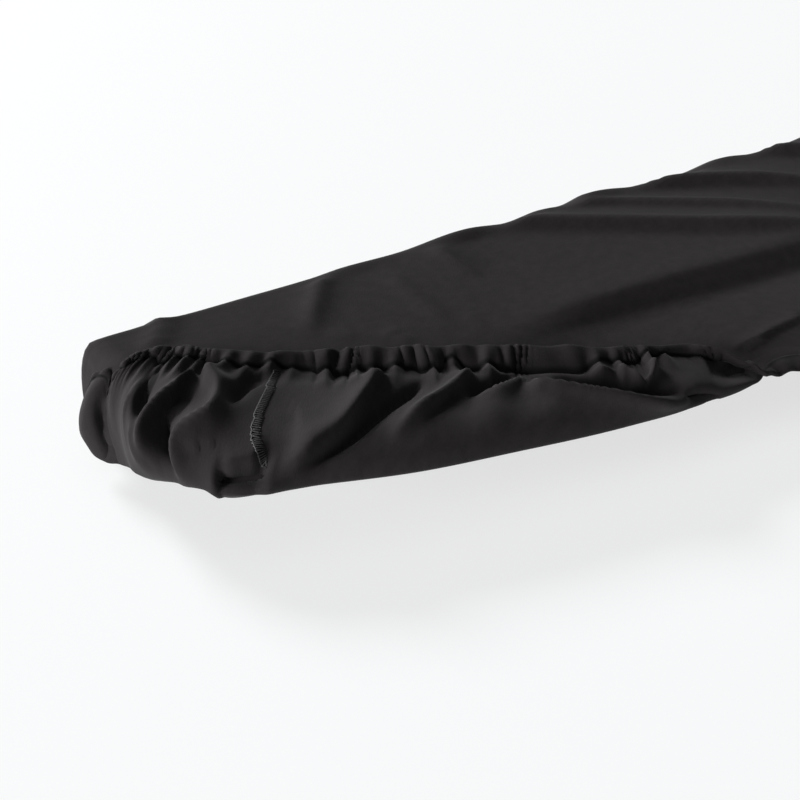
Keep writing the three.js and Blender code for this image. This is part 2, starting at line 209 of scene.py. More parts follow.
# The back edge rises and dips where the folds meet it: x, height above its straight line. Its shape takes
# over from the folds between two depths, and from the left between two lengths.
BACK_EDGE = [
    (0, 0), (160, 0), (190, 1.8), (245, 0.9), (303, 5.2), (352, -0.5), (386, 2.8), (414, 1.0), (438, 5.9),
    (458, 5.0), (490, 0), (512, -1.1), (560, -2.3), (605, 3.0), (648, -1.9), (690, -3.2), (712, -1.5),
    (754, 2.6), (785, -1.2), (815, -1.2), (842, 2.2), (880, 0), (935, 0),
]
EDGE_DEPTHS, EDGE_LENGTHS = (264.0, 279.0), (100.0, 140.0)

# The hanging sides take up the top's folds at the rim, and lose them over this share of the run.
RISE_FADE = (0.0, 0.5)

# Folds of the turned-back flap: path of (at, share of the run from rim to hem), height on the side that
# shows, reach on the path's right and on its left, and how much of the path each end takes to fade.
FLAP_FOLDS = [
    ([(-125, 0.80), (-116, 0.69), (-115, 0.64), (-104, 0.54), (-94, 0.42), (-84, 0.32)],
     9.0, 12, 9, 0.3, 0.4),
    ([(-205, 0.95), (-204, 0.75), (-200, 0.55), (-196, 0.36)], -7.0, 6, 6, 0.0, 0.4),
    ([(-114, 0.87), (-108, 0.745), (-106, 0.69), (-105, 0.64), (-93, 0.53)], -11.0, 7, 7, 0.4, 0.35),
    ([(-58, 0.81), (-72, 0.68), (-80, 0.62), (-87, 0.52), (-84, 0.43), (-70, 0.34)], 11.0, 8, 8, 0.1, 0.35),
    ([(-45, 0.72), (-59, 0.63), (-70, 0.55), (-69, 0.46), (-58, 0.34), (-46, 0.25)], -13.0, 8, 7, 0.3, 0.35),
    ([(-57, 0.86), (-39, 0.75), (-28, 0.67), (-25, 0.54), (-35, 0.468), (-46, 0.419), (-50, 0.355),
      (-45, 0.286), (-34, 0.244), (-23, 0.228)], 12.0, 8, 13, 0.1, 0.4),
    ([(-2, 0.88), (-11, 0.79), (-14, 0.72), (-16, 0.65), (-14, 0.55)], -11.0, 9, 7, 0.15, 0.4),
    ([(-14, 0.24), (-8, 0.26), (0, 0.275), (8, 0.284), (20, 0.29)], 8.0, 3.5, 8, 0.4, 0.25),
    ([(-14, 0.225), (-4, 0.235), (6, 0.237), (16, 0.23), (26, 0.222)], -24.0, 6, 6, 0.2, 0.25),
    ([(-24, 0.17), (0, 0.165), (20, 0.165), (40, 0.17)], 4.0, 4, 4, 0.25, 0.25),
    ([(91, 0.81), (78, 0.73), (71, 0.58), (66, 0.44), (60, 0.33), (50, 0.275), (40, 0.24), (28, 0.22)],
     11.0, 26, 5, 0.15, 0.2),
    ([(123, 0.80), (106, 0.66), (92, 0.56), (82, 0.46), (74, 0.37), (62, 0.29), (50, 0.24), (36, 0.21)],
     -11.0, 5, 8, 0.3, 0.25),
    ([(153, 0.87), (150, 0.75), (139, 0.615), (130, 0.53), (121, 0.47), (112, 0.40), (104, 0.325),
      (97, 0.275)], 9.5, 10, 7, 0.15, 0.4),
    ([(194, 0.82), (181, 0.735), (170, 0.655), (157, 0.61), (145, 0.575)], -24.0, 4, 4, 0.1, 0.3),
    ([(150, 0.58), (140, 0.53), (130, 0.45), (121, 0.37)], -6.0, 6, 7, 0.3, 0.45),
    ([(200, 0.77), (188, 0.68), (177, 0.60), (165, 0.55), (153, 0.52)], 6.0, 4, 14, 0.3, 0.4),
    ([(170, 0.88), (163, 0.76)], 5.0, 8, 8, 0.3, 0.3),
    ([(188, 0.605), (222, 0.515), (262, 0.40), (304, 0.28), (335, 0.21)], 11.0, 8, 8, 0.15, 0.2),
    ([(212, 0.76), (240, 0.66), (262, 0.58), (290, 0.44), (315, 0.35), (335, 0.29)],
     -16.0, 8, 13, 0.15, 0.3),
    ([(240, 0.80), (261, 0.74), (278, 0.74)], 8.0, 8, 8, 0.3, 0.3),
    ([(276, 0.80), (288, 0.62), (297, 0.50), (305, 0.60), (308, 0.78)], 9.0, 5, 5, 0.15, 0.15),
    ([(325, 0.29), (342, 0.24), (358, 0.18)], -9.0, 5, 5, 0.3, 0.3),
]

# A whole run counts as so many millimetres where the flap's folds are measured.
RUN_SCALE = 125.0

# A fold falls away evenly from a narrow round crest: how fast, and how round, as a share of its reach. Its
# path is drawn with so many points for each of its knots.
SLACK = 1.7
CREST = 0.3
FOLD_POINTS = 10

# Where the cloth's columns lie closer than in the flat cut, its folds are lower: what they keep for their
# share of that spread, what they lose of it, and the least that is left.
DRAWN_KEEP = 1.6
DRAWN_LOSS = 0.1
DRAWN_LEAST = 0.1

# Folds of the flap fade to its stitch line over these distances from it.
FOLDS_FADE = (2, 22)

# A hollow of the flap is at most so deep at the roll and for each millimetre from it, and deeper in the
# pocket at the corner: how much, its place and its half width.
SINK_AT_ROLL = 1.0
SINK = 0.6
POCKET = {"sink": 2.5, "place": 8.0, "half": 24.0}

# The flap stands off the top between its roll and its casing.
PUFF = {
    "height": 3.0, "grows": (0.2, 0.4), "sinks": (0.72, 0.84), "starts": (-170, -120), "ends": (190, 270),
}

# Gathers of the flap along its stitch line: place, height and half width; how pointed they are, and the
# distances from the stitch line over which they fade.
GATHERS = [
    (-155, 5, 12), (-132, 4, 9), (-100, 5, 8), (-84, 6, 9), (-70, 5, 6), (-43, 6, 10), (-22, 3, 8),
    (-3, 6, 9), (14, 3, 8), (38.5, 4, 6), (60, 4, 8), (73, 5, 9), (92, 6, 10), (122.5, 4, 6), (140, 4, 7),
    (168, 6, 8), (262, 6, 12), (280, 5, 6), (309, 8, 6), (326, 4, 8), (350, 4, 8),
]
GATHER_POINT = 1.3
GATHERS_FADE = (3, 32)

# The flap is pulled in along its stitch line, less and less over these distances from it.
STITCH_PULL = 1.2
PULL_FADE = (0, 4)

# The hanging sides sway in and out, and their gathers fade over these distances from the stitch line.
SWAY = {"size": 3.5, "pitch": 96.0, "drift": 57.0}
HANGING_FADE = (4, 40)

# Where the casing is drawn into tight pleats: place and half width. The pleats' pitch, how it drifts and how
# their size changes as size, length and start of a wave, how round they are, and their middle height.
PLEATS = [
    (-186, 9), (-163, 11), (-112, 9), (-72, 12), (46, 16), (114, 13), (190, 9), (297, 7), (361, 7), (381, 8),
]
PLEAT_PITCH = 6.8
PLEAT_DRIFTS = [(0.6, 11.0, 0.0), (0.35, 5.3, 1.0)]
PLEAT_SIZE = 0.85
PLEAT_SWELL = (0.35, 7.7, 2.0)
PLEAT_ROUND = 0.7
PLEAT_MIDDLE = 0.75

# Height of the pleats on the casing, what they lose at its edge, how they slide along it towards that edge,
# how much they shorten it, and their height beside it on the flap.
PLEAT_DEPTH = 7.5
PLEAT_LOSS = 0.35
LOSS_GROWS = (0.6, 1.0)
SLIDE = 6.0
SLIDE_LENGTH = 17.0
SLIDE_DRIFT = (1.4, 39.0, 0.0)
PLEAT_SHORTENS = 0.06
PLEAT_GATHER = 3.0

# The casing's own relief grows from the stitch line over this share of its width.
RELIEF_GROWS = (0.0, 0.5)

# Uneven waves along the hem: size, pitch and start. Each wave bends and swells by waves of its own: size,
# length as a share of the pitch, and start as a multiple of its start. The slant's size is in degrees, and
# the width's is a share of the casing's width.
SLANT_WAVE = (5.0, 61.0, 2.0)
WIDTH_WAVE = (0.05, 47.0, 3.0)
LEAN_WAVE = (1.2, 34.0, 0.3)
LOOSE_WAVE = (1.2, 15.0, 0.7)
HANGING_WAVE = (2.6, 21.0, 1.1)
WAVE_BENDS = [(0.9, 0.83, 1.0), (0.6, 0.37, 2.3)]
WAVE_SIZE = 0.7
WAVE_SWELL = (0.3, 0.61, 1.7)

# Columns of the cloth along its front and up its left end, closer where there are folds, and how close the
# fall's columns are where it is turned back.
FRONT_PLACES = np.concatenate([
    np.arange(0, 300, 6.0), np.arange(300, 720, 3.5), np.linspace(720, LENGTH, 20)])
LEFT_PLACES = np.concatenate([
    np.arange(0, 14, 7.0), np.arange(14, 50, 2.0), np.arange(50, 98, 8.0), np.arange(98, 150, 4.0),
    np.linspace(150, DEPTH, 35)])
CLOSE = 1.7
SPLIT_FROM, SPLIT_TO = -240.0, 440.0

# Rows of the fall from the rim to its nose and on to the stitch line, and how much closer these are at both
# ends of their run.
ROWS_TO_NOSE = 7
ROWS_TO_STITCH = 32
ROWS_CLOSER = 0.35
STITCH_ROW = ROWS_TO_NOSE + ROWS_TO_STITCH

# Rows of the end's wall, and rows of the flap past its nose that are kept off it.
WALL_ROWS = slice(1, ROWS_TO_NOSE - 1)
CLEAR_ROWS = slice(ROWS_TO_NOSE + 2, None)

# Path of the corner's overlocked seam: at, share of the run.
SEAM = [(3, 0.885), (5, 0.7), (6, 0.53), (8, 0.44), (12, 0.36), (17, 0.305), (20, 0.282)]
SEAM_POINTS = 80

# The seam's width, how far it stands off the cloth, its bars' pitch, crown and points, the thread's radius
# and sides, and the chain's share of that radius, its rise over the seam and its wobble.
SEAM_WIDTH = 6.0
SEAM_RISE = 0.6
BAR_PITCH = 1.9
BAR_CROWN = 0.5
BAR_POINTS = 6
THREAD = 0.42
THREAD_SIDES = 5
CHAIN_THREAD = 0.75
CHAIN_RISE = 0.3
CHAIN_WOBBLE = 0.25

# A thread's sides are turned from a way that no thread runs along.
LEANING = UP + 0.01

# The knit's colour and sheen outside and inside, the tone of the dark thread and painted shade along the
# stitch line's groove, and how far the casing goes towards that tone as painted shade.
OUTSIDE = ((0.0197, 0.0173, 0.0184), 0.03)
INSIDE = ((0.0195, 0.0172, 0.0179), 0.05)
OUTSIDE_SLOT, INSIDE_SLOT = 0, 1
THREAD_AND_SHADE_TONE = 0.2
CASING_PAINTED_SHADE = 0.2

# Finish of the knit: gloss, unevenness in shades and roughness, and a fine nap drawn out along the wales.
KNIT = {
    "sheen_rough": 0.5, "gloss": 0.12, "uneven": 90, "uneven_detail": 6, "uneven_rough": 0.7,
    "shade_ends": (0.3, 0.72), "shades": (0.78, 1.24), "rough": (0.8, 0.95),
    "nap": 1100, "nap_detail": 2, "wales": (1.0, 0.45, 1.0), "nap_strength": 0.6, "nap_height": 0.0003,
}

# Colours of the seam's thread, and its finish: roughness, how fine its slubs are, and their shades.
GREY_THREAD = (0.033, 0.032, 0.034)
PALE_THREAD = (0.078, 0.078, 0.082)
THREAD_FINISH = {"rough": 0.7, "slubs": 700, "shades": (0.7, 1.3)}

# The floor's size in metres, and its paper's colour, roughness and glow.
FLOOR = {"size": 200, "colour": (0.226, 0.236, 0.242, 1), "rough": 0.8, "glow": 0.7}

# Strength of the white sky. Distant lights: name, the way each shines, spread in degrees and strength.
WHITE = (1, 1, 1, 1)
SKY = 0.06
SUNS = [
    ("back_light", (0.15, -0.82, -0.54), 18, 2.9),
    ("left_light", (0.97, -0.05, -0.19), 24, 4.2),
    ("overhead_light", (0.0, 0.15, -1.0), 60, 0.4),
]
SUN_PLACE = (0, 0, 2)

# Camera: place in metres, turn to the right of straight ahead, slope down and roll in degrees, lens and film
# in millimetres, and how far it sees in metres.
CAMERA = {
    "place": (-0.6666, -0.5629, 0.39925), "turn": 31.86, "slope": 32.08, "roll": -1.45,
    "lens": 50.03, "film": 36, "sees": 50,
}


def read(rows, at):
    """Smooth curves through a table's columns, read at each place; the first column is the place."""
    rows = np.asarray(rows, float)
    place, value = rows[:, 0], rows[:, 1:]
    slope = np.empty_like(value)
    slope[1:-1] = (value[2:] - value[:-2]) / (place[2:] - place[:-2])[:, None]
    slope[0] = (value[1] - value[0]) / (place[1] - place[0])
    slope[-1] = (value[-1] - value[-2]) / (place[-1] - place[-2])
    at = np.asarray(at, float)
    i = np.clip(np.searchsorted(place, at) - 1, 0, len(place) - 2)
    span = (place[i + 1] - place[i])[..., None]
    t = np.clip((at - place[i])[..., None] / span, 0, 1)
    t2, t3 = t * t, t * t * t
    start = (2 * t3 - 3 * t2 + 1) * value[i] + (t3 - 2 * t2 + t) * span * slope[i]
    return start + (3 * t2 - 2 * t3) * value[i + 1] + (t3 - t2) * span * slope[i + 1]


def smooth(x, low, high):
    """A smooth step from 0 at the low end to 1 at the high end."""
    t = np.clip((x - low) / (high - low), 0, 1)
    return t * t * (3 - 2 * t)


def bell(x, middle, half):
    """A round bump of height 1."""
    return np.exp(-(((x - middle) / half) ** 2))


def wave(at, size, length, start):
    """A plain wave; its length is for one radian of its turn."""
    return size * np.sin(at / length + start)


def ripple(at, size, pitch, start):
    """An uneven wave along the hem."""
    bend = sum(wave(at, part, pitch * length, turn * start) for part, length, turn in WAVE_BENDS)
    part, length, turn = WAVE_SWELL
    swell = WAVE_SIZE + wave(at, part, pitch * length, turn * start)
    return size * swell * np.sin(2 * np.pi * at / pitch + bend)


def unit(v):
    """Vectors at a length of 1."""
    return v / np.maximum(np.linalg.norm(v, axis=-1, keepdims=True), TINY)


def heading(degrees, way):
    """The way that goes up from a level way by an angle."""
    angle = np.radians(degrees)[:, None]
    return way * np.cos(angle) + UP * np.sin(angle)


def top_height(y):
    """Height of the top without its folds."""
    return read(PROFILE, y)[..., 0]


def outline(at):
    """Points of the fitted box's outline, the way out of it and the side it is on."""
    s = np.mod(at, PERIMETER)
    bounds = np.array([0, LENGTH, LENGTH + DEPTH, 2 * LENGTH + DEPTH, PERIMETER])
    starts = np.array([(0, 0), (LENGTH, 0), (LENGTH, DEPTH), (0, DEPTH)], float)
    side = np.clip(np.searchsorted(bounds, s, side="right") - 1, 0, 3)
    along = s - bounds[side]
    left = bounds[side + 1] - s
    place = starts[side] + SIDE_WAYS[side] * along[:, None]
    lag = np.maximum(0, 1 - along / CORNER_TURN) - np.maximum(0, 1 - left / CORNER_TURN)
    angle = (side - 1) * np.pi / 2 - lag * np.pi / 4
    out = np.stack([np.cos(angle), np.sin(angle), np.zeros_like(angle)], axis=-1)
    return place, out, side


def hanging(at):
    """Rows of the section table for sides that hang straight down."""
    at = np.atleast_1d(np.asarray(at, float))
    place, out, _ = outline(at)
    way = out[:, :2]
    reach = HANG["out"] + HANG["end_out"] * np.abs(out[:, :1])
    flat = np.ones((len(at), 1))
    return np.hstack([
        at[:, None], place - way * HANG["rim"], place + way * reach, flat * HANG["out_height"],
        flat * HANG["turn"], flat * HANG["land"], place - way * HANG["tuck"], flat * HANG["hem_height"],
    ])


def sections(at):
    """The section table's values at each place along the rim."""
    before = hanging([BACK_LEFT - 2 * BACK_STEP, BACK_LEFT - BACK_STEP])
    after = hanging([FULLY_ON, FULLY_ON + FRONT_STEP])
    turned = np.vstack([before, np.array(SECTIONS, float), after])
    rows = hanging(at)[:, 1:]
    inside = (at > turned[0, 0]) & (at < turned[-1, 0])
    rows[inside] = read(turned, at[inside])
    return rows


def turned_back(at):
    """How far the fall is turned back at each place, from 0 to 1."""
    grows, ends = TURNED
    return smooth(at, *grows) * (1 - smooth(at, *ends))


def hangs(at):
    """How far the fall hangs straight down at each place, from 0 to 1."""
    return (1 - smooth(at, *HANGS_TO)) + smooth(at, *HANGS_FROM)


def bezier(points, count):
    """Dense points of cubic curves, one curve for each column."""
    t = np.linspace(0, 1, count)[None, :, None]
    a, b, c, d = (p[:, None, :] for p in points)
    return a * (1 - t) ** 3 + 3 * b * t * (1 - t) ** 2 + 3 * c * t * t * (1 - t) + d * t ** 3


def even(lines, shares, left_over=0.0):
    """Points at given shares of each line's length, less what is left over at its end, and those lengths."""
    step = np.linalg.norm(np.diff(lines, axis=1), axis=2)
    along = np.concatenate([np.zeros((len(lines), 1)), np.cumsum(step, axis=1)], axis=1)
    length = along[:, -1] - left_over
    found = np.empty((len(lines), len(shares), 3))
    for k in range(len(lines)):
        for axis in range(3):
            found[k, :, axis] = np.interp(shares * length[k], along[k], lines[k, :, axis])
    return found, length


def fold_lift(folds, a, b, scale):
    """How far a set of folds lifts the cloth at each place; b is scaled to millimetres."""
    here = np.stack([a, b * scale], axis=-1).reshape(-1, 2)
    total = np.zeros(len(here))
    for path, height, right, left, fade_in, fade_out in folds:
        knots = np.array(path, float) * (1, scale)
        along = np.concatenate([[0], np.cumsum(np.linalg.norm(np.diff(knots, axis=0), axis=1))])
        line = read(np.column_stack([along, knots]), np.linspace(0, along[-1], FOLD_POINTS * len(knots)))
        best = np.full(len(here), np.inf)
        side = np.zeros(len(here))
        where = np.zeros(len(here))
        for n in range(len(line) - 1):
            step = line[n + 1] - line[n]
            gap = here - line[n]
            t = np.clip((gap @ step) / (step @ step), 0, 1)
            gap = gap - t[:, None] * step
            size = np.linalg.norm(gap, axis=1)
            near = size < best
            best[near] = size[near]
            side[near] = (step[0] * gap[:, 1] - step[1] * gap[:, 0])[near]
            where[near] = ((n + t) / (len(line) - 1))[near]
        reach = np.where(side > 0, left, right)
        strength = np.ones(len(here))
        if fade_in:
            strength *= smooth(where, 0, fade_in)
        if fade_out:
            strength *= 1 - smooth(where, 1 - fade_out, 1)
        total += height * strength * np.exp(-SLACK * (np.hypot(best / reach, CREST) - CREST))
    return total.reshape(np.shape(a))


def top_rise(x, y):
    """How far the top's folds lift it; along the back edge they run into the edge's own shape."""
    edge = smooth(y, *EDGE_DEPTHS) * smooth(x, *EDGE_LENGTHS)
    return (1 - edge) * fold_lift(TOP_FOLDS, x, y, 1.0) + edge * read(BACK_EDGE, x)[..., 0]


def rim_places():
    """Places of the fall's columns round the rim, and the rim point of each, or -1 between two points."""
    front, left = FRONT_PLACES, LEFT_PLACES
    back = 2 * LENGTH + DEPTH - front[:0:-1]
    end = PERIMETER - left[:0:-1]
    rim = np.concatenate([front[:-1], LENGTH + left[:-1], back, end])
    step = np.mod(np.roll(rim, -1) - rim, PERIMETER)
    mid_back = (PERIMETER + LENGTH) / 2
    rim = np.where(rim > mid_back, rim - PERIMETER, rim)
    places, points = [], []
    for k in range(len(rim)):
        count = round(step[k] / CLOSE) if SPLIT_FROM <= rim[k] < SPLIT_TO else 1
        places.extend(rim[k] + step[k] * n / count for n in range(count))
        points.extend([k] + [-1] * (count - 1))
    return np.array(places), np.array(points)


def usual_width(at):
    """The casing's width with its ups and downs evened out."""
    place = np.arange(CASING_WIDTHS[0][0], CASING_WIDTHS[-1][0] + 1, EVENED_STEP)
    width = read(CASING_WIDTHS, place)[:, 0]
    weight = bell(place[:, None], place[None], EVENED_OVER)
    return np.interp(at, place, (weight @ width) / weight.sum(1))


def fall_lines(at):
    """Dense lines of the fall's columns from the rim to the nose and from there to the hem, and the casing:
    its hem, its way to the hem, the way it faces and its width."""
    row = sections(at)
    out = outline(at)[1]
    turned = turned_back(at)
    rim = np.column_stack([row[:, 0:2], top_height(row[:, 1])])
    nose, turn, land, hem = row[:, 2:5], row[:, 5], row[:, 6], row[:, 7:10]
    lie = out * FAN + nose - hem
    lie[:, 2] = 0
    lie = unit(lie)
    slant = turned * (smooth(at, *SLANT_GROWS) * CASING_SLANT + ripple(at, *SLANT_WAVE))
    sheet = heading(land - slant, lie)
    face = heading(land - slant - QUARTER_TURN, lie)
    most = CASING_SHARE + TWIST_SHARE * smooth(at, *TWIST_GROWS) * (1 - smooth(at, *TWIST_ENDS))
    longest = most * np.linalg.norm(hem - nose, axis=1)
    width = np.minimum(read(CASING_WIDTHS, at)[:, 0], longest)
    usual = np.minimum(usual_width(at), longest)
    root = hem - sheet * usual[:, None]
    run = heading(turn, out)
    landing = heading(land + DIP * turned, lie)
    rise = ROLL + ROLL_RISE * np.maximum(0, hem[:, 2] - nose[:, 2])
    behind = rim - out * SLOPE_STEP
    behind[:, 2] = top_height(behind[:, 1])
    leave = unit(rim - behind)
    shoulder = SHOULDER * (1 - SHOULDER_LOSS * turned * (1 - smooth(at, *SHOULDER_GROWS)))
    first = np.linalg.norm(nose - rim, axis=1)
    second = np.linalg.norm(root - nose, axis=1)
    down = bezier([
        rim, rim + leave * (first * shoulder)[:, None],
        nose - run * np.minimum(ROLL, first * BEND)[:, None], nose], DOWN_POINTS)
    back = bezier([
        nose, nose + run * np.minimum(rise, second * BEND)[:, None],
        root - landing * (second * BEND)[:, None], root], BACK_POINTS)
    to_hem = np.linspace(0, 1, HEM_POINTS + 1)[None, 1:, None]
    back = np.concatenate([back, root[:, None] + (hem - root)[:, None] * to_hem], axis=1)
    return down, back, (hem, sheet, face, width)


def fall(at):
    """The fall's points from the rim to the stitch line, their shares of the run, their distances from the
    stitch line, and the casing."""
    down, back, casing = fall_lines(at)
    width = casing[-1]
    to_nose = np.linspace(0, 1, ROWS_TO_NOSE + 1)
    to_stitch = np.linspace(0, 1, ROWS_TO_STITCH + 1)[1:]
    to_stitch = to_stitch - ROWS_CLOSER * np.sin(2 * np.pi * to_stitch) / (2 * np.pi)
    down_points, down_length = even(down, to_nose)
    back_points, back_length = even(back, to_stitch, width)
    points = np.concatenate([down_points, back_points], axis=1)
    down_gone = down_length[:, None] * to_nose
    back_gone = down_length[:, None] + back_length[:, None] * to_stitch
    gone = np.hstack([down_gone, back_gone])
    whole = (down_length + back_length + width)[:, None]
    return points, gone / whole, gone[:, -1:] - gone, casing


def inside_of(points):
    """The way from the cloth's outer side to its inner side at each point of the fall."""
    beside = np.roll(points, -1, axis=0) - np.roll(points, 1, axis=0)
    below = np.empty_like(points)
    below[:, 1:-1] = points[:, 2:] - points[:, :-2]
    below[:, 0] = points[:, 1] - points[:, 0]
    below[:, -1] = points[:, -1] - points[:, -2]
    return unit(np.cross(beside, below))


def gathers(at):
    """Height of the flap's gathers along its stitch line."""
    return sum(height * np.clip(1 - np.abs(at - place) / half, 0, 1) ** GATHER_POINT
               for place, height, half in GATHERS)


def pleats(at):
    """Tight pleats of the casing, in clusters: round tops with sharp clefts between them."""
    tight = np.minimum(1, sum(bell(at, place, half) for place, half in PLEATS))
    turn = at / PLEAT_PITCH + sum(wave(at, *drift) for drift in PLEAT_DRIFTS)
    size = PLEAT_SIZE + wave(at, *PLEAT_SWELL)
    return tight * size * (np.abs(np.sin(np.pi * turn)) ** PLEAT_ROUND - PLEAT_MIDDLE)


def over_top(at, points):
    """Keep the turned-back cloth above the top that it lies on."""
    near = (at > OVER_TOP_FROM) & (at < SPLIT_TO)
    rim = points[(at > RIM_LINE_FROM) & (at < SPLIT_TO), 0]
    rim = rim[np.argsort(rim[:, 0], kind="stable")]
    flap = points[near, ROWS_TO_NOSE:]
    x, y, z = (flap[..., n] for n in range(3))
    low = top_height(y) + top_rise(x, y) - EDGE_ROUND * np.minimum(x, 0) ** 2 + CLEAR
    rim_line = np.interp(x, rim[:, 0], rim[:, 1], left=LINE_START)
    over = smooth(x, *LEFT_EDGE) * smooth(y - rim_line, *PAST_RIM)
    flap[..., 2] += over * np.maximum(low - z, 0)
    points[near, ROWS_TO_NOSE:] = flap


def off_end(at, points):
    """Keep the turned-back cloth outside the end's wall that it hangs over."""
    near = (at > OFF_END[0]) & (at < OFF_END[1])
    wall = points[near, WALL_ROWS].reshape(-1, 3)
    flap = points[near, CLEAR_ROWS]
    here = flap.reshape(-1, 3)
    moved = np.zeros(len(here))
    below = top_height(here[:, 1]) - here[:, 2]
    for k in np.flatnonzero(here[:, 0] < END_REACH):
        gap = ((wall[:, 1:] - here[k, 1:]) ** 2).sum(1)
        weight = np.exp(-gap / WALL_REACH ** 2)
        there = (weight @ wall[:, 0]) / max(weight.sum(), TINY)
        sunk = smooth(below[k], *BELOW_TOP)
        moved[k] = sunk * smooth(weight.sum(), *WALL_ENOUGH) * max(here[k, 0] - there + CLEAR, 0)
    here = here - moved[:, None] * (1, 0, 0)
    points[near, CLEAR_ROWS] = here.reshape(flap.shape)


def drawn_together(at, points):
    """How much of their height folds keep where the cloth's columns are drawn together."""
    apart = np.linalg.norm(np.roll(points, -1, axis=0) - np.roll(points, 1, axis=0), axis=2)
    apart = apart / np.mod(np.roll(at, -1) - np.roll(at, 1), PERIMETER)[:, None]
    return np.clip(DRAWN_KEEP * apart - DRAWN_LOSS, DRAWN_LEAST, 1)


def lift_of(at, points, share, beyond):
    """How far folds and gathers lift the fall towards its inner side."""
    turned, hung = turned_back(at)[:, None], hangs(at)[:, None]
    kept = drawn_together(at, points)
    flap = (smooth(at, *PUFF["starts"]) * (1 - smooth(at, *PUFF["ends"])))[:, None]
    lift = PUFF["height"] * flap * smooth(share, *PUFF["grows"]) * (1 - smooth(share, *PUFF["sinks"]))
    folds = fold_lift(FLAP_FOLDS, at[:, None] + 0 * share, share, RUN_SCALE)
    lift += (1 - hung) * smooth(beyond, *FOLDS_FADE) * kept * folds
    sway = np.sin(2 * np.pi * at / SWAY["pitch"] + np.sin(at / SWAY["drift"]))[:, None]
    lift += hung * SWAY["size"] * share ** 2 * sway
    # Gathers run in from the stitch line and fade up the cloth.
    gathered = (gathers(at) + PLEAT_GATHER * pleats(at))[:, None]
    lift += turned * kept * gathered * (1 - smooth(beyond, *GATHERS_FADE))
    lift += hung * ripple(at, *HANGING_WAVE)[:, None] * (1 - smooth(beyond, *HANGING_FADE))
    lift -= turned * STITCH_PULL * (1 - smooth(beyond, *PULL_FADE))
    from_nose = np.maximum(beyond[:, ROWS_TO_NOSE:ROWS_TO_NOSE + 1] - beyond, 0)
    sink = SINK + POCKET["sink"] * bell(at, POCKET["place"], POCKET["half"])
    deepest = -sink[:, None] * from_nose - SINK_AT_ROLL
    return np.where(turned > 0, np.maximum(lift, deepest), lift)


def casing_rows(at, root, casing):
    """The casing's rows after its stitch line, with its pleats."""
    hem, sheet, face, width = casing
    turned = turned_back(at)
    longer = ripple(at, *WIDTH_WAVE) - PLEAT_SHORTENS * turned * pleats(at)
    hem = hem + sheet * (width * longer)[:, None]
    lean = (1 - turned) * ripple(at, *LOOSE_WAVE) + turned * ripple(at, *LEAN_WAVE)
    slide = wave(at, SLIDE, SLIDE_LENGTH, wave(at, *SLIDE_DRIFT))
    rows = []
    for step in CASING_STEPS:
        depth = PLEAT_DEPTH * (1 - PLEAT_LOSS * smooth(step, *LOSS_GROWS))
        relief = lean + depth * turned * pleats(at + slide * step)
        out = relief * smooth(step, *RELIEF_GROWS)
        rows.append(root * (1 - step) + hem * step + face * out[:, None])
    return np.stack(rows, axis=1)


def folded_fall(at):
    """The fall with its folds, gathers and casing; also each row's share of the run."""
    points, share, beyond, casing = fall(at)
    folded = points + inside_of(points) * lift_of(at, points, share, beyond)[..., None]
    rise = top_rise(points[:, 0, 0], points[:, 0, 1])[:, None]
    folded[..., 2] += hangs(at)[:, None] * rise * (1 - smooth(share, *RISE_FADE))
    off_end(at, folded)
    over_top(at, folded)
    rows = casing_rows(at, folded[:, STITCH_ROW], casing)
    whole = share[:, -1:]
    casing_share = whole + (1 - whole) * CASING_STEPS[None, :]
    return np.concatenate([folded, rows], axis=1), np.hstack([share, casing_share])


def top(rim):
    """The top's points, row by row from the front, inside the ring of rim points."""
    across, along = len(LEFT_PLACES) - 1, len(FRONT_PLACES) - 1
    i = np.arange(along + 1)
    j = np.arange(across + 1)
    front, right = rim[i], rim[along + j]
    back, left = rim[2 * along + across - i], rim[(-j) % len(rim)]
    p = (FRONT_PLACES / LENGTH)[None, :, None]
    q = (LEFT_PLACES / DEPTH)[:, None, None]
    sheet = left[:, None] * (1 - p) + right[:, None] * p + front[None] * (1 - q) + back[None] * q
    sheet = sheet - left[0] * (1 - p) * (1 - q) - right[0] * p * (1 - q)
    sheet = sheet - left[-1] * (1 - p) * q - right[-1] * p * q
    x, y = sheet[..., 0], sheet[..., 1]
    sheet[..., 2] = top_height(y) + top_rise(x, y)
    return sheet


def flat_fall(at, depth):
    """Where places of the fall lie in the flat cut: beside the top's edge, by their depth below it."""
    place, _, side = outline(at)
    way = SIDE_WAYS[side]
    out = np.stack([way[:, 1], -way[:, 0]], axis=-1)
    return place[:, None] + out[:, None] * depth[..., None]


def cells(*grids):
    """Grids of the cells' four corners as one row of four for each cell."""
    rows = np.stack(grids, axis=2)
    return rows.reshape(-1, *rows.shape[2:])


def rim_faces(at, ids, starts, here, beside):
    """Triangles that join rim points to the closer columns below them, and their flat cut."""
    count = len(at)
    shapes, flats = [], []
    for a, b in zip(starts, np.append(starts[1:], count)):
        middle = (a + b) // 2
        first, far = ids[a, 0], ids[b % count, 0]
        first_flat = here[a, 0]
        far_flat = beside[b - 1, 0]
        for n in range(a, b):
            near, near_flat = (first, first_flat) if n < middle else (far, far_flat)
            low, low_after = ids[n, 1], ids[(n + 1) % count, 1]
            shapes.append([near, low, low_after, low_after])
            flats.append([near_flat, here[n, 1], beside[n, 1], beside[n, 1]])
        shapes.append([first, ids[middle, 1], far, far])
        flats.append([first_flat, here[middle, 1], far_flat, far_flat])
    return np.array(shapes), np.array(flats)


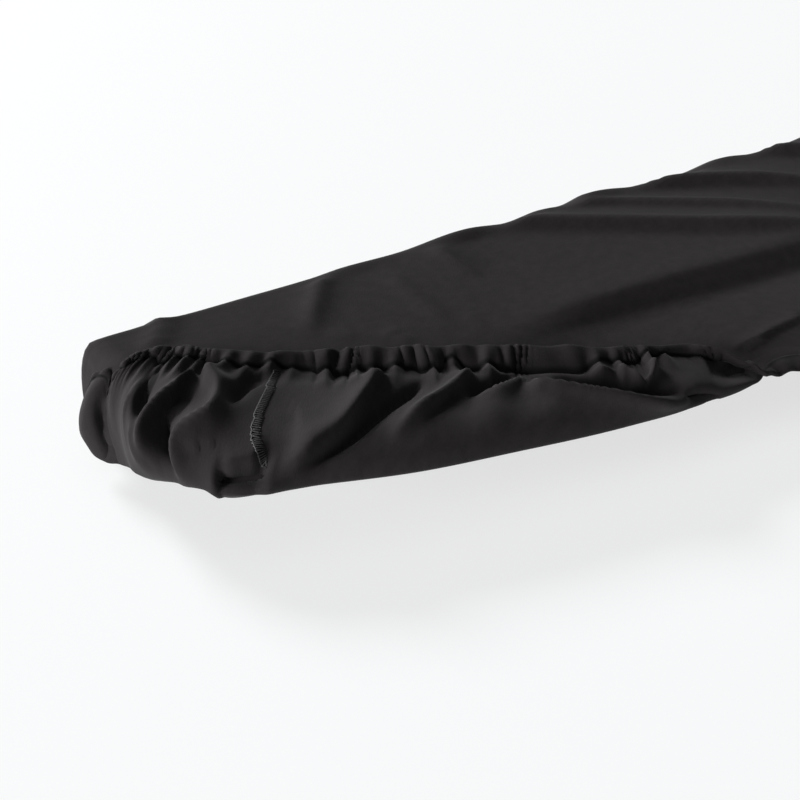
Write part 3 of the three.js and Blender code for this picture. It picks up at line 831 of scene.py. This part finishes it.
def cloth_net(at, rim_of, ring, share):
    """Every point of the cloth once, half its thickness, its faces, the flat cut of each face's corners,
    which faces are in the casing, the points along the hem, and each point's mark of dark thread and painted
    shade: full along the stitch line, and a little painted shade over the casing.
    A triangle repeats its last corner."""
    count, rows = ring.shape[:2]
    on_rim = rim_of >= 0
    sheet = top(ring[on_rim, 0])
    top_ids = np.arange(sheet.shape[0] * sheet.shape[1]).reshape(sheet.shape[:2])
    ids = np.full((count, rows), -1)
    ids[on_rim, 0] = np.concatenate([
        top_ids[0, :-1], top_ids[:-1, -1], top_ids[-1, :0:-1], top_ids[:0:-1, 0]])
    ids[:, 1:] = top_ids.size + np.arange(count * (rows - 1)).reshape(count, rows - 1)
    points = np.concatenate([sheet.reshape(-1, 3), ring[:, 1:].reshape(-1, 3)])
    half = np.full(len(points), HALF_CLOTH)
    for n, thick in enumerate(CASING_HALF):
        half[ids[:, STITCH_ROW + n]] = thick
    thread_and_painted_shade = np.zeros(len(points))
    # The casing's rows: painted shade for its ruching.
    thread_and_painted_shade[ids[:, STITCH_ROW + 2:]] = CASING_PAINTED_SHADE
    # The stitch line's rows: dark thread, and painted shade in the groove under the casing's edge.
    thread_and_painted_shade[ids[:, STITCH_ROW:STITCH_ROW + 2]] = 1
    flat = np.stack(np.meshgrid(FRONT_PLACES, LEFT_PLACES), axis=-1)
    top_faces, top_cut = (cells(g[:-1, :-1], g[:-1, 1:], g[1:, 1:], g[1:, :-1]) for g in (top_ids, flat))
    # The next column's flat place is on this column's side, so that no face spans two sides of the cut.
    after = (np.arange(count) + 1) % count
    step = np.mod(at[after] - at, PERIMETER)[:, None] * SIDE_WAYS[outline(at)[2]]
    here = flat_fall(at, share * FALL)
    beside = flat_fall(at, share[after] * FALL) + step[:, None]
    fall_faces = cells(ids[:, 1:-1], ids[:, 2:], ids[after, 2:], ids[after, 1:-1])
    fall_cut = cells(here[:, 1:-1], here[:, 2:], beside[:, 2:], beside[:, 1:-1])
    joins, joins_cut = rim_faces(at, ids, np.flatnonzero(on_rim), here, beside)
    faces = np.concatenate([top_faces, fall_faces, joins])
    cut = np.concatenate([top_cut, fall_cut, joins_cut])
    casing_cells = np.zeros((count, rows - 2), bool)
    casing_cells[:, STITCH_ROW - 1:] = True
    in_casing = np.zeros(len(faces), bool)
    in_casing[len(top_faces):len(top_faces) + len(fall_faces)] = casing_cells.reshape(-1)
    return points, half, faces, cut, in_casing, ids[:, -1], thread_and_painted_shade


def skins(points, half, faces):
    """Points of the outer skin and then of the inner skin."""
    normal = np.zeros_like(points)
    a, b, c, d = (points[faces[:, n]] for n in range(4))
    flat = np.cross(c - a, d - b)
    for n in range(4):
        np.add.at(normal, faces[:, n], flat)
    shift = unit(normal) * half[:, None]
    return np.concatenate([points + shift, points - shift])


def corners(face):
    """A face's corners without a repeated one."""
    return [c for n, c in enumerate(face) if c != face[n - 1]]


def new_material(name):
    """A material, its nodes, its links and its shader."""
    material = bpy.data.materials.new(name)
    material.use_nodes = True
    nodes, links = material.node_tree.nodes, material.node_tree.links
    return material, nodes, links, nodes["Principled BSDF"]


def shaded(nodes, colour, shades):
    """A ramp from a darker to a paler shade of a colour."""
    ramp = nodes.new("ShaderNodeValToRGB")
    for element, shade in zip(ramp.color_ramp.elements, shades):
        element.color = (*(c * shade for c in colour), 1)
    return ramp


def knit(name, colour, sheen):
    """Matte stretch knit: a fine nap along the wales, slight unevenness, and a dark stitch line of thread
    and painted shade, with a little painted shade over the casing.
    """
    material, nodes, links, shader = new_material(name)
    shader.inputs["Sheen Weight"].default_value = sheen
    shader.inputs["Sheen Roughness"].default_value = KNIT["sheen_rough"]
    shader.inputs["Specular IOR Level"].default_value = KNIT["gloss"]
    place = nodes.new("ShaderNodeTexCoord")
    uneven = nodes.new("ShaderNodeTexNoise")
    uneven.inputs["Scale"].default_value = KNIT["uneven"]
    uneven.inputs["Detail"].default_value = KNIT["uneven_detail"]
    uneven.inputs["Roughness"].default_value = KNIT["uneven_rough"]
    links.new(place.outputs["UV"], uneven.inputs["Vector"])
    shade = shaded(nodes, colour, KNIT["shades"])
    for element, end in zip(shade.color_ramp.elements, KNIT["shade_ends"]):
        element.position = end
    links.new(uneven.outputs["Fac"], shade.inputs["Fac"])
    # The mesh's mark mixes in a much darker tone: dark thread and painted shade on the stitch line, painted
    # shade on the casing.
    thread_and_shade_mark = nodes.new("ShaderNodeAttribute")
    thread_and_shade_mark.attribute_name = "thread_and_painted_shade"
    thread = nodes.new("ShaderNodeMix")
    thread.data_type = "RGBA"
    links.new(thread_and_shade_mark.outputs["Fac"], thread.inputs["Factor"])
    links.new(shade.outputs["Color"], thread.inputs["A"])
    thread.inputs["B"].default_value = (*(c * THREAD_AND_SHADE_TONE for c in colour), 1)
    links.new(thread.outputs["Result"], shader.inputs["Base Color"])
    rough = nodes.new("ShaderNodeMapRange")
    rough.inputs["To Min"].default_value, rough.inputs["To Max"].default_value = KNIT["rough"]
    links.new(uneven.outputs["Fac"], rough.inputs["Value"])
    links.new(rough.outputs["Result"], shader.inputs["Roughness"])
    wales = nodes.new("ShaderNodeMapping")
    wales.inputs["Scale"].default_value = KNIT["wales"]
    links.new(place.outputs["UV"], wales.inputs["Vector"])
    nap = nodes.new("ShaderNodeTexNoise")
    nap.inputs["Scale"].default_value = KNIT["nap"]
    nap.inputs["Detail"].default_value = KNIT["nap_detail"]
    links.new(wales.outputs["Vector"], nap.inputs["Vector"])
    bump = nodes.new("ShaderNodeBump")
    bump.inputs["Strength"].default_value = KNIT["nap_strength"]
    bump.inputs["Distance"].default_value = KNIT["nap_height"]
    links.new(nap.outputs["Fac"], bump.inputs["Height"])
    links.new(bump.outputs["Normal"], shader.inputs["Normal"])
    return material


def spun_thread(name, colour):
    """Spun thread, a little lighter and darker along its length."""
    material, nodes, links, shader = new_material(name)
    shader.inputs["Roughness"].default_value = THREAD_FINISH["rough"]
    place = nodes.new("ShaderNodeTexCoord")
    slubs = nodes.new("ShaderNodeTexNoise")
    slubs.inputs["Scale"].default_value = THREAD_FINISH["slubs"]
    links.new(place.outputs["Object"], slubs.inputs["Vector"])
    shade = shaded(nodes, colour, THREAD_FINISH["shades"])
    links.new(slubs.outputs["Fac"], shade.inputs["Fac"])
    links.new(shade.outputs["Color"], shader.inputs["Base Color"])
    return material


def piece_of(name, points, faces, materials, slots):
    """A smooth piece on the part's body, with the slot of each face's material."""
    mesh = bpy.data.meshes.new(name)
    mesh.from_pydata(((points - ORIGIN) / PER_METRE).tolist(), [], faces)
    mesh.polygons.foreach_set("use_smooth", np.ones(len(faces), bool))
    for material in materials:
        mesh.materials.append(material)
    mesh.polygons.foreach_set("material_index", slots.astype(np.int32))
    mesh.update()
    piece = bpy.data.objects.new(name, mesh)
    bpy.context.scene.collection.objects.link(piece)
    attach(piece, "root")
    return piece


def cover(at, rim_of, ring, share):
    """The cloth as a closed sheet: outer skin, inner skin, and the brim that joins them at the hem."""
    points, half, faces, cut, in_casing, edge, thread_and_painted_shade = cloth_net(at, rim_of, ring, share)
    inner = len(points)
    after = np.roll(edge, -1)
    brim = np.stack([edge, edge + inner, after + inner, after], axis=-1)
    brim_cut = np.broadcast_to(cut[-1, 0], (len(edge), 4, 2))
    shapes = np.concatenate([faces, faces[:, ::-1] + inner, brim])
    flat = np.concatenate([cut, cut[:, ::-1], brim_cut]) / PER_METRE
    keep = shapes != np.roll(shapes, 1, axis=1)
    slots = np.full(len(shapes), OUTSIDE_SLOT)
    slots[len(faces):2 * len(faces)][~in_casing] = INSIDE_SLOT
    piece = piece_of("cloth_cover", skins(points, half, faces), [corners(f) for f in shapes.tolist()],
                     [knit("cloth_outside", *OUTSIDE), knit("cloth_inside", *INSIDE)], slots)
    # The mark of dark thread and painted shade along the stitch line, and painted shade over the casing.
    thread_and_shade_mark = piece.data.attributes.new("thread_and_painted_shade", "FLOAT", "POINT")
    thread_and_shade_mark.data.foreach_set("value", np.tile(thread_and_painted_shade, 2).astype(np.float32))
    layer = piece.data.uv_layers.new(name="flat_cut")
    layer.data.foreach_set("uv", flat[keep].reshape(-1).astype(np.float32))
    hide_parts("cover")
    return piece


def on_fall(ring, at, share, path):
    """Points of the fall at places of (at, share), and the way to the side that shows."""
    inside = inside_of(ring)
    order = np.argsort(at)
    found = []
    for place, part in path:
        k = order[np.searchsorted(at[order], place)]
        line = [np.interp(part, share[k], ring[k, :, axis]) for axis in range(3)]
        way = [np.interp(part, share[k], inside[k, :, axis]) for axis in range(3)]
        found.append((line, way))
    points, ways = (np.array(x) for x in zip(*found))
    return points, unit(ways)


def tubes(lines, radius, sides):
    """Points and faces of thin threads along lines of points."""
    points, faces = [], []
    for line in lines:
        step = unit(np.gradient(line, axis=0))
        side = unit(np.cross(step, LEANING))
        other = np.cross(step, side)
        first = len(points)
        for n in range(len(line)):
            for m in range(sides):
                turn = 2 * np.pi * m / sides
                points.append(line[n] + radius * (math.cos(turn) * side[n] + math.sin(turn) * other[n]))
        for n in range(len(line) - 1):
            for m in range(sides):
                a, b = first + n * sides + m, first + n * sides + (m + 1) % sides
                faces.append([a, b, b + sides, a + sides])
        faces.append([first + m for m in range(sides)][::-1])
        faces.append([first + (len(line) - 1) * sides + m for m in range(sides)])
    return np.array(points), faces


def corner_seam(ring, at, share):
    """Overlock bars over the raw edges of the corner seam, and the paler chain along one side."""
    rows = np.column_stack([np.linspace(0, 1, len(SEAM)), np.array(SEAM, float)])
    path = read(rows, np.linspace(0, 1, SEAM_POINTS))
    points, ways = on_fall(ring, at, share, path)
    along = np.concatenate([[0], np.cumsum(np.linalg.norm(np.diff(points, axis=0), axis=1))])
    places = np.arange(0, along[-1], BAR_PITCH)
    line = np.stack([np.interp(places, along, points[:, a]) for a in range(3)], -1)
    way = unit(np.stack([np.interp(places, along, ways[:, a]) for a in range(3)], -1))
    step = unit(np.gradient(line, axis=0))
    side = unit(np.cross(step, way))
    across = np.linspace(-0.5, 0.5, BAR_POINTS)
    crown = SEAM_RISE + BAR_CROWN * (1 - (2 * across) ** 2)
    bars = [line[n] + side[n] * SEAM_WIDTH * across[:, None] + way[n] * crown[:, None]
            for n in range(len(line))]
    chain = line + side * SEAM_WIDTH / 2 + way * (SEAM_RISE + CHAIN_RISE)
    wobble = side * CHAIN_WOBBLE * np.cos(np.pi * np.arange(len(line)))[:, None]
    bar_points, bar_faces = tubes(bars, THREAD, THREAD_SIDES)
    chain_points, chain_faces = tubes([chain + wobble, chain - wobble], CHAIN_THREAD * THREAD, THREAD_SIDES)
    faces = bar_faces + [[c + len(bar_points) for c in face] for face in chain_faces]
    threads = [spun_thread("grey_thread", GREY_THREAD), spun_thread("pale_thread", PALE_THREAD)]
    slots = np.repeat([0, 1], [len(bar_faces), len(chain_faces)])
    return piece_of("corner_seam", np.concatenate([bar_points, chain_points]), faces, threads, slots)


def floor():
    """A wide sheet of pale paper under the cover."""
    bpy.ops.object.select_all(action="DESELECT")
    bpy.ops.mesh.primitive_plane_add(size=FLOOR["size"], location=(0, 0, -ORIGIN[2] / PER_METRE))
    plane = bpy.context.object
    plane.name = "pale_floor"
    material, _, _, shader = new_material("pale_paper")
    shader.inputs["Base Color"].default_value = FLOOR["colour"]
    shader.inputs["Roughness"].default_value = FLOOR["rough"]
    shader.inputs["Emission Color"].default_value = WHITE
    shader.inputs["Emission Strength"].default_value = FLOOR["glow"]
    plane.data.materials.append(material)


def sun(name, way, spread, strength):
    """A distant light that shines along a way."""
    bpy.ops.object.light_add(type="SUN", location=SUN_PLACE)
    lamp = bpy.context.object
    lamp.name = name
    lamp.data.angle = math.radians(spread)
    lamp.data.energy = strength
    lamp.rotation_euler = Vector(way).to_track_quat("-Z", "Y").to_euler()


def light():
    """A faint white sky and the distant lights."""
    world = bpy.data.worlds.new("studio")
    bpy.context.scene.world = world
    world.use_nodes = True
    sky = world.node_tree.nodes["Background"]
    sky.inputs["Color"].default_value = WHITE
    sky.inputs["Strength"].default_value = SKY
    for row in SUNS:
        sun(*row)


def camera():
    """The view of the photo."""
    a, e, r = (math.radians(CAMERA[n]) for n in ("turn", "slope", "roll"))
    ahead = Vector((math.sin(a) * math.cos(e), math.cos(a) * math.cos(e), -math.sin(e)))
    right = Vector((math.cos(a), -math.sin(a), 0))
    above = right.cross(ahead)
    x = right * math.cos(r) + above * math.sin(r)
    y = above * math.cos(r) - right * math.sin(r)
    data = bpy.data.cameras.new("photo_view")
    data.lens = CAMERA["lens"]
    data.sensor_width = CAMERA["film"]
    data.clip_end = CAMERA["sees"]
    eye = bpy.data.objects.new("photo_view", data)
    bpy.context.scene.collection.objects.link(eye)
    turn = Matrix((x, y, -ahead)).transposed().to_4x4()
    eye.matrix_world = Matrix.Translation(CAMERA["place"]) @ turn
    bpy.context.scene.camera = eye


camera()
columns, rim_points = rim_places()
fall_ring, fall_share = folded_fall(columns)
cloth = cover(columns, rim_points, fall_ring, fall_share)
seam = corner_seam(fall_ring, columns, fall_share)
floor()
light()
bpy.context.scene.view_settings.view_transform = "Standard"
